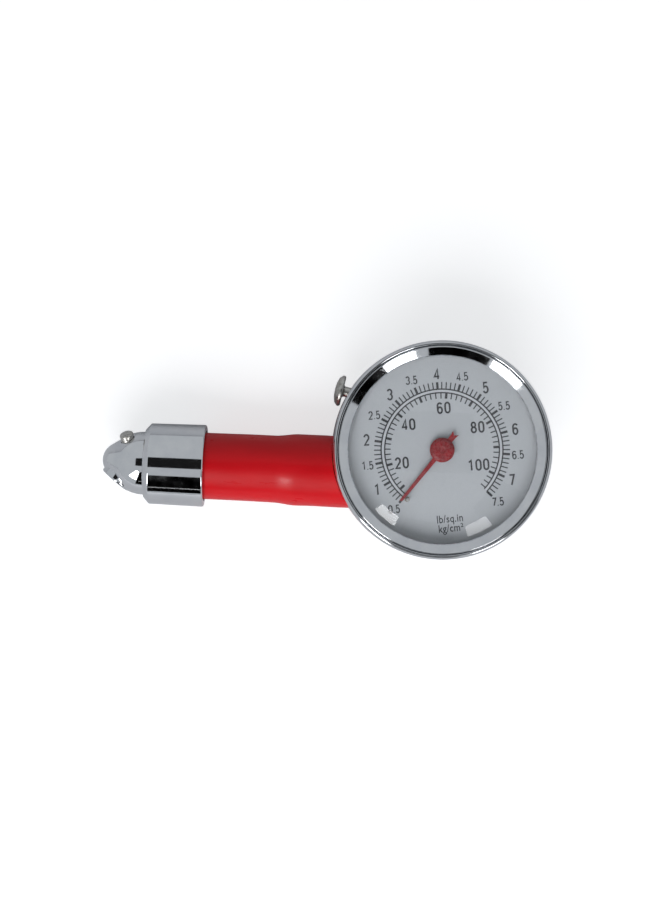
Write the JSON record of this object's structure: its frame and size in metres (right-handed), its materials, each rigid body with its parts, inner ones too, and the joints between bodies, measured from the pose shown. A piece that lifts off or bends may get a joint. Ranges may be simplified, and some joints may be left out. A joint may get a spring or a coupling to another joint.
{
  "type": "dial tyre pressure gauge",
  "caption": "Hand-held dial tyre pressure gauge with a red sleeved handle, a chrome chuck with a slanted valve mouth and a release button.",
  "frame": {"origin": "centre of the case's flat back, on the dial's axis", "axes": "+Z out of the dial, +X away from the chuck along the handle, so that the handle runs to -X"},
  "size_m": [0.1159, 0.0562, 0.0285],
  "materials": {
    "case": "plated steel, satin",
    "chrome": "bright chrome plate",
    "crystal": "clear moulded window",
    "rubber": "black nitrile rubber",
    "dial": "silver-grey paint with black print",
    "nickel": "worn nickel plate",
    "pointer": "red enamel",
    "steel": "bright steel",
    "brass": "machined brass",
    "sleeve": "red glossy soft PVC"
  },
  "bodies": {
    "body": {"case_shell": "case", "bezel_ring": "chrome", "crystal_lens": "crystal", "crystal_gasket": "rubber", "dial_plate": "dial", "stop_pin": "nickel", "case_screw_1": "steel", "case_screw_2": "steel", "socket_block": "brass", "bourdon_tube": "brass", "movement_back_plate": "brass", "movement_front_plate": "brass", "pillar_1": "brass", "pillar_2": "brass", "pillar_3": "brass", "front_screw_1": "steel", "front_screw_2": "steel", "front_screw_3": "steel", "plate_screw_1": "steel", "plate_screw_2": "steel", "hairspring": "steel", "hairspring_stud": "brass", "case_grommet": "rubber", "inlet_stem": "brass", "head_adapter": "brass", "handle_tube": "brass", "handle_sleeve": "sleeve", "check_valve_seat": "brass", "check_spring": "steel", "chuck_collar": "chrome", "chuck_head": "chrome", "chuck_gasket": "rubber", "deflator_pin": "nickel", "valve_seal": "rubber", "core_depressor": "brass", "button_bush": "brass", "button_spring": "steel"},
    "pointer": {"pointer": "pointer", "pinion_arbor": "steel"},
    "sector": {"sector_gear": "brass", "sector_arbor": "steel", "link_pin": "steel"},
    "link": {"link_bar": "brass"},
    "tube_end": {"bourdon_tip": "brass"},
    "button": {"release_button": "nickel", "bleed_seal": "rubber"},
    "ball": {"check_ball": "steel"}
  },
  "joints": [
    {"name": "pointer_turn", "type": "hinge", "parent": "body", "child": "pointer", "pos_m": [0, 0, 0.022], "axis": [0, 0, -1], "range_deg": [0, 273.7], "deforming": ["hairspring"]},
    {"name": "sector_turn", "type": "hinge", "parent": "body", "child": "sector", "pos_m": [-0.00952, -0.00771, 0.0168], "axis": [0, 0, 1], "range_deg": [0, 45.61]},
    {"name": "link_turn", "type": "hinge", "parent": "sector", "child": "link", "pos_m": [-0.01324, -0.00955, 0.0159], "axis": [0, 0, -1], "range_deg": [0, 45.61]},
    {"name": "tube_end_slide", "type": "slide", "parent": "body", "child": "tube_end", "axis": [0.756, -0.6546, 0], "range_m": [0, 0.0033], "stiffness_N_per_m": 200, "deforming": ["bourdon_tube"]},
    {"name": "button_press", "type": "slide", "parent": "body", "child": "button", "axis": [0.9813, -0.1926, 0], "range_m": [0, 0.0016], "stiffness_N_per_m": 600, "deforming": ["button_spring"]},
    {"name": "check_ball_lift", "type": "slide", "parent": "body", "child": "ball", "axis": [1, 0, 0], "range_m": [0, 0.0008], "stiffness_N_per_m": 60, "deforming": ["check_spring"]}
  ],
  "couplings": [
    {"joint": "sector_turn", "follows": "tube_end_slide", "rad_per_m": 241.17},
    {"joint": "link_turn", "follows": "tube_end_slide", "rad_per_m": 241.17},
    {"joint": "pointer_turn", "follows": "tube_end_slide", "rad_per_m": 1447}
  ]
}
